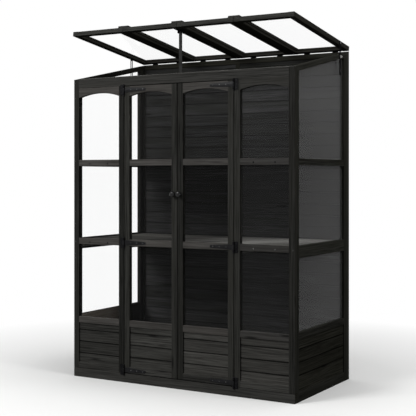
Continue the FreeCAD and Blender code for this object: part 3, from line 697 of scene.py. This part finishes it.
def pressRidge(bm):
    low, high = strap["ridge"]
    for height in sorted({middleOf(part, strap["digits"])[2] for part in looseParts(bm)}):
        near = [vert for vert in bm.verts if abs(vert.co.z - height) < strap["near"]]
        middle = sum(ends(vert.co.z for vert in near)) / 2
        faces = facesOf(near)
        edges = list(dict.fromkeys(edge for face in faces for edge in face.edges))
        bmesh.ops.bisect_plane(bm, geom=faces + edges + near, dist=strap["cut"],
                               plane_co=(0, 0, middle), plane_no=(0, 0, 1))
        for vert in bm.verts:
            offCut = max(abs(vert.co.z - middle), abs(frontY - strap["thick"] - vert.co.y))
            if offCut < strap["onCut"] and low < abs(vert.co.x) < high:
                vert.co.y -= strap["rise"]


metalPieces = {"door_hinge_leaves": leafMetal, "left_door_hinge_straps": blackMetal,
               "right_door_hinge_straps": blackMetal, "lid_hinge_wall_leaves": blackMetal,
               "lid_hinge_leaves": blackMetal}
for node, finish in metalPieces.items():
    shape = pressRidge if node.endswith("straps") else None
    easedCopy(node, finish, easing["metal"], shape=shape)
stripPieces = {"left_lid_stay": (stayMetal, easing["metal"]), "right_lid_stay": (stayMetal, easing["metal"]),
               "lid_prop": (propMetal, easing["prop"]), "prop_keeper": (stayMetal, easing["metal"]),
               "prop_bracket": (stayMetal, easing["metal"]), "prop_clamp": (propMetal, easing["clamp"])}
for node, (finish, ease) in stripPieces.items():
    easedCopy(node, finish, ease)
print("metal pieces:", len(metalPieces) + len(stripPieces))


def carryOn(nodes, finish):
    # CAD nodes that stay as they are and only get their finish
    for node in nodes:
        mesh = cadNodes[node].data
        mesh.materials.clear()
        mesh.materials.append(finish)


paneNodes = {node: frontPane for node in cadNodes if node.endswith("_panes")}
paneNodes.update({"left_wall_panes": wallPane, "right_wall_panes": wallPane, "right_bay_panes": bayPane,
                  "lid_panes": lidPane})
for node, sheet in paneNodes.items():
    carryOn((node,), sheet)
    cadNodes[node].visible_shadow = False
    cadNodes[node].visible_diffuse = False
carryOn(("door_hinge_pins", "lid_hinge_pins"), blackMetal)
carryOn(("door_catches",), knobBlack)
carryOn(("left_door_catch_plate", "right_door_catch_plate"), propMetal)

weld = 0.0000001    # points of a turned shape that are nearer than this become one


def turned(bm, profile, steps, matrix, knurl=None):
    # a profile of radius and height, spun about its axis; a knurled rim has every other edge pressed in
    others = set(bm.verts)
    verts = [bm.verts.new((radius, 0, height)) for radius, height in profile]
    edges = [bm.edges.new(pair) for pair in zip(verts[:-1], verts[1:])]
    bmesh.ops.spin(bm, geom=verts + edges, axis=(0, 0, 1), cent=(0, 0, 0), angle=2 * math.pi, steps=steps,
                   use_merge=True, use_duplicate=False)
    made = [vert for vert in bm.verts if vert not in others]
    bmesh.ops.remove_doubles(bm, verts=made, dist=weld)
    made = [vert for vert in made if vert.is_valid]
    faces = facesOf(made)
    bmesh.ops.recalc_face_normals(bm, faces=faces)
    for vert in made:
        step = round(math.atan2(vert.co.y, vert.co.x) / (2 * math.pi / steps))
        rim = knurl and knurl["from"] < vert.co.z < knurl["to"] and vert.co.xy.length > knurl["radius"]
        if rim and step % 2:
            vert.co.xy *= knurl["press"]
    bmesh.ops.transform(bm, matrix=matrix, verts=made)
    for face in faces:
        face.smooth = True


def finishPiece(bm, name, finish, body, nodes=(), sharp=35.0):
    # a fitting drawn here, smooth but for its sharp edges
    for edge in bm.edges:
        if len(edge.link_faces) == 2 and edge.calc_face_angle(0) > math.radians(sharp):
            edge.smooth = False
    piece = linkMesh(bm, name, [finish])
    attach(piece, body)
    if nodes:
        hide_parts(*nodes)


def facing(place, direction):
    # stands the turning axis at a place, pointing outwards
    return Matrix.Translation(place) @ Vector(direction).to_track_quat("Z", "Y").to_matrix().to_4x4()


def onFront(x, z, out=0.0):
    # facing forward on the front plane, or that much before it
    return facing((x, frontY - out, z), (0, -1, 0))


def onBack(x, z, depth):
    # facing back, at a depth behind the front plane
    return facing((x, frontY + depth, z), (0, 1, 0))


# what turns with the lid stands on its open position
onLid = Matrix.Translation(lidAxis) @ Matrix.Rotation(-lidTilt, 4, "X")
lidBody = cadNodes["lid_battens"]["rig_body"]


def lidFacing(place, direction):
    return facing(onLid @ Vector(place), onLid.to_3x3() @ Vector(direction))


knob = {"fromCentre": 0.020, "height": 1.089, "steps": 40, "sharp": 50.0,
        "profile": [(0.0, 0.0), (0.0105, 0.0), (0.0105, 0.0016), (0.0088, 0.0032), (0.0074, 0.0055),
                    (0.0070, 0.0100), (0.0078, 0.0128), (0.0108, 0.0142), (0.0140, 0.0166), (0.0158, 0.0195),
                    (0.0165, 0.0222), (0.0162, 0.0250), (0.0148, 0.0278), (0.0120, 0.0301), (0.0080, 0.0315),
                    (0.0040, 0.0320), (0.0, 0.0320)]}
for side, sign in (("left", -1), ("right", 1)):
    bm = bmesh.new()
    turned(bm, knob["profile"], knob["steps"], onFront(sign * knob["fromCentre"], knob["height"]))
    finishPiece(bm, side + "DoorKnob", knobBlack, side + "_door", [side + "_door_knob"],
                knob["sharp"])

# heads are drawn for a radius of 1, and sunk a little into what they hold
screw = {"steps": 12, "domed": 0.62, "strapHead": 0.0031, "leafHead": 0.00279, "buttHead": 0.0024,
         "profile": [(0.0, 0.45), (0.34, 0.45), (0.40, 0.82), (0.78, 0.70), (1.0, 0.28), (1.0, -0.2),
                     (0.0, -0.2)]}
nail = {"steps": 12, "head": 0.0031,
        "profile": [(0.0, 0.16), (0.7, 0.14), (1.0, 0.02), (1.0, -0.2), (0.0, -0.2)]}


def screwHead(bm, place, radius):
    profile = [(r * radius, h * radius * screw["domed"]) for r, h in screw["profile"]]
    turned(bm, profile, screw["steps"], place)


def nailHead(bm, place, radius):
    profile = [(r * radius, h * radius) for r, h in nail["profile"]]
    turned(bm, profile, nail["steps"], place)


for side, sign in (("left", -1), ("right", 1)):
    bm = bmesh.new()
    for height in strap["heights"]:
        for across in strap["screws"]:
            screwHead(bm, onFront(sign * across, height, strap["thick"]), screw["strapHead"])
    finishPiece(bm, side + "StrapScrews", wornScrew, side + "_door")
bm = bmesh.new()
for sign in (-1, 1):
    for height in strap["heights"]:
        for lift in (-1, 0, 1):
            place = onFront(sign * strap["leafX"], height + lift * strap["leafDrop"], strap["thick"])
            screwHead(bm, place, screw["leafHead"])
finishPiece(bm, "postLeafScrews", blackMetal, "cabinet")
print("hinge screws done")

# nail heads that fix the shelf bearers behind the bars of the bays, and a screw in each corner post
nails = {"barHeights": (0.800, 1.264), "across": (0.480, 0.609), "barHead": 0.0052, "barSunk": 0.0006,
         "bright": 0.0024, "lift": 0.0012, "cornerX": 0.713, "cornerHeight": 0.801, "cornerSunk": 0.0002,
         "cornerHead": 0.0026}
bm = bmesh.new()
for height in nails["barHeights"]:
    for across in nails["across"]:
        for sign in (-1, 1):
            nailHead(bm, onFront(sign * across, height, -nails["barSunk"]), nails["barHead"])
finishPiece(bm, "barNails", leafMetal, "cabinet")
# painted highlight: bright screw heads on the right bay's lower bar only, standing in for light glinting on
# them
bm = bmesh.new()
for across in nails["across"]:
    screwHead(bm, onFront(across, nails["barHeights"][0] + nails["lift"]), nails["bright"])
finishPiece(bm, "barScrews", brightScrew, "cabinet")
bm = bmesh.new()
for sign in (-1, 1):
    place = onFront(sign * nails["cornerX"], nails["cornerHeight"], -nails["cornerSunk"])
    screwHead(bm, place, nails["cornerHead"])
finishPiece(bm, "cornerScrews", wornScrew, "cabinet")

# two small butt hinges for each sash of the lid, with two screws in each leaf
butt = {"firstSash": -0.544875, "pitch": 0.36325, "sashes": 4, "fromMiddle": 0.091, "across": 0.0105,
        "level": 0.0155, "wallFace": 0.742, "lidFace": -0.0034}
wallScrews, lidScrews = bmesh.new(), bmesh.new()
for k in range(butt["sashes"]):
    for end in (-1, 1):
        centre = butt["firstSash"] + k * butt["pitch"] + end * butt["fromMiddle"]
        for side in (-1, 1):
            across = centre + side * butt["across"]
            place = onBack(across, lidAxis.z - butt["level"], butt["wallFace"])
            screwHead(wallScrews, place, screw["buttHead"])
            place = lidFacing((across, butt["lidFace"], butt["level"]), (0, 1, 0))
            screwHead(lidScrews, place, screw["buttHead"])
finishPiece(wallScrews, "wallLeafScrews", blackMetal, "cabinet")
finishPiece(lidScrews, "lidLeafScrews", blackMetal, lidBody)

# nails through the battens into the sashes, and through the brace across the back
batten = {"top": 0.0355, "across": 0.022, "along": (-0.045, -0.185, -0.325, -0.465, -0.605, -0.72)}
bm = bmesh.new()
for k in (-1, 0, 1):
    for along in batten["along"]:
        for side in (-1, 1):
            place = (k * butt["pitch"] + side * batten["across"], along, batten["top"])
            nailHead(bm, lidFacing(place, (0, 0, 1)), nail["head"])
finishPiece(bm, "battenNails", wornScrew, lidBody)
brace = {"face": 0.740, "across": (0.05, 0.17, 0.29, 0.41, 0.53, 0.65), "heights": (0.783, 0.807)}
bm = bmesh.new()
for k, across in enumerate(brace["across"]):
    for sign in (-1, 1):
        nailHead(bm, onBack(sign * across, brace["heights"][k % 2], brace["face"]), nail["head"])
finishPiece(bm, "braceNails", wornScrew, "cabinet")

# thumb screws that clamp the stays, and the domed screws and rivets that the stays and the prop turn on
thumb = {"x": 0.7288, "steps": 36, "knurl": {"from": 0.003, "to": 0.0072, "radius": 0.0066, "press": 0.94},
         "profile": [(0.0, -0.0218), (0.0025, -0.0218), (0.0025, 0.0), (0.0085, 0.0), (0.0085, 0.0011),
                     (0.0045, 0.0013), (0.0045, 0.0021), (0.0066, 0.0025), (0.0072, 0.0033), (0.0072, 0.0068),
                     (0.0062, 0.0078), (0.0026, 0.0080), (0.0026, 0.0118), (0.0019, 0.0124), (0.0, 0.0124)]}
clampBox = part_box("stay_clamp_screws")
clampMiddle = (clampBox[0] + clampBox[1]) / 2
bm = bmesh.new()
for sign in (-1, 1):
    place = facing((sign * thumb["x"], clampMiddle.y, clampMiddle.z), (sign, 0, 0))
    turned(bm, thumb["profile"], thumb["steps"], place, thumb["knurl"])
finishPiece(bm, "stayThumbScrews", brightScrew, "cabinet", ["stay_clamp_screws"])
pivot = {"x": 0.7288, "along": -0.147, "level": 0.0135, "steps": 24,
         "profile": [(0.0, -0.0218), (0.003, -0.0218), (0.003, 0.0), (0.0065, 0.0), (0.0065, 0.0009),
                     (0.0057, 0.0019), (0.0036, 0.0027), (0.0014, 0.0030), (0.0012, 0.0022), (0.0, 0.0022)]}
bm = bmesh.new()
for sign in (-1, 1):
    place = lidFacing((sign * pivot["x"], pivot["along"], pivot["level"]), (sign, 0, 0))
    turned(bm, pivot["profile"], pivot["steps"], place)
finishPiece(bm, "stayPivotScrews", wornScrew, lidBody, ["stay_pivot_screws"])
rivet = {"middle": -0.008, "outer": 0.0131, "along": -0.69996, "level": -0.014, "steps": 20,
         "profile": [(0.0, -0.001), (0.0046, -0.001), (0.0046, 0.0004), (0.0040, 0.0012), (0.0024, 0.0018),
                     (0.0, 0.0020)]}
bm = bmesh.new()
for sign in (-1, 1):
    place = lidFacing((rivet["middle"] + sign * rivet["outer"], rivet["along"], rivet["level"]), (sign, 0, 0))
    turned(bm, rivet["profile"], rivet["steps"], place)
finishPiece(bm, "bracketRivets", propMetal, lidBody)
print("small fixings done")


def seenRays(tree):
    # 1 where the camera looks, straight, in a mirrored surface or through a pane
    ray = put(tree, "ShaderNodeLightPath").outputs
    through = maths(tree, "MAXIMUM", ray["Is Glossy Ray"], ray["Is Transmission Ray"])
    return maths(tree, "MAXIMUM", ray["Is Camera Ray"], through)


# the floor looks pale and fades into white, but throws little light back on the object
floorLook = {"half": 9.0, "cells": 8, "colour": (0.86, 0.86, 0.85), "bounce": (0.18, 0.18, 0.18),
             "fade": (1.1, 2.6), "rough": 0.9, "shine": 0.1}


def makeFloor():
    finish, tree, shader = newFinish("paleFloor")
    shader.inputs["Roughness"].default_value = floorLook["rough"]
    shader.inputs["Specular IOR Level"].default_value = floorLook["shine"]
    white = put(tree, "ShaderNodeEmission", {"Color": (1, 1, 1, 1), "Strength": 1.0})
    seen = seenRays(tree)
    colour = mixColour(tree, seen, floorLook["bounce"], floorLook["colour"])
    tree.links.new(colour, shader.inputs["Base Color"])
    away = put(tree, "ShaderNodeVectorMath", {0: objectPoint(tree)}, operation="LENGTH").outputs["Value"]
    away = remap(tree, away, floorLook["fade"])
    blend = put(tree, "ShaderNodeMixShader",
                {0: times(tree, away, seen), 1: shader.outputs[0], 2: white.outputs[0]})
    tree.links.new(blend.outputs[0], tree.nodes["Material Output"].inputs["Surface"])
    bm = bmesh.new()
    bmesh.ops.create_grid(bm, x_segments=floorLook["cells"], y_segments=floorLook["cells"],
                          size=floorLook["half"])
    floor = linkMesh(bm, "floor", [finish])


makeFloor()

lamps = {"key": {"place": (-2.6, -5.4, 4.2), "aim": (0, 0, 1.0), "size": 2.2, "power": 270, "mirrored": True},
         "top": {"place": (0.5, 0.1, 5.4), "aim": (0, 0, 0.6), "size": 3.0, "power": 110},
         "right": {"place": (3.7, -0.4, 4.7), "aim": (0.4, 0, 0.9), "size": 2.0, "power": 90}}
for name, look in lamps.items():
    data = bpy.data.lights.new(name, "AREA")
    data.size = look["size"]
    data.energy = look["power"]
    lamp = bpy.data.objects.new(name, data)
    lamp.location = look["place"]
    lamp.rotation_euler = (Vector(look["aim"]) - Vector(look["place"])).to_track_quat("-Z", "Y").to_euler()
    bpy.context.scene.collection.objects.link(lamp)
    lamp.visible_glossy = look.get("mirrored", False)

# white background for the camera, in mirrored surfaces and through the panes, and a dimmer soft light
# for the object itself
worldLook = {"fill": 0.34, "tint": (0.98, 0.99, 1.0)}
world = bpy.data.worlds.new("studio")
bpy.context.scene.world = world
world.use_nodes = True
tree = world.node_tree
tree.nodes.clear()
dim = put(tree, "ShaderNodeBackground", {"Color": (*worldLook["tint"], 1), "Strength": worldLook["fill"]})
bright = put(tree, "ShaderNodeBackground", {"Color": (1, 1, 1, 1), "Strength": 1.0})
mixed = put(tree, "ShaderNodeMixShader", {0: seenRays(tree), 1: dim.outputs[0], 2: bright.outputs[0]})
put(tree, "ShaderNodeOutputWorld", {"Surface": mixed.outputs[0]})

camera = {"place": (2.91067, -4.98731, 1.18845), "turn": 30.358, "lens": 84.66, "drop": -0.0761,
          "sensor": 36, "farthest": 100}
data = bpy.data.cameras.new("camera")
data.lens = camera["lens"]
data.sensor_width = camera["sensor"]
data.shift_y = camera["drop"]
data.clip_end = camera["farthest"]
eye = bpy.data.objects.new("camera", data)
eye.location = camera["place"]
eye.rotation_euler = (math.radians(90), 0, math.radians(camera["turn"]))
bpy.context.scene.collection.objects.link(eye)
bpy.context.scene.camera = eye
bpy.context.scene.view_settings.view_transform = "Standard"
print("stage, lamps and camera done")
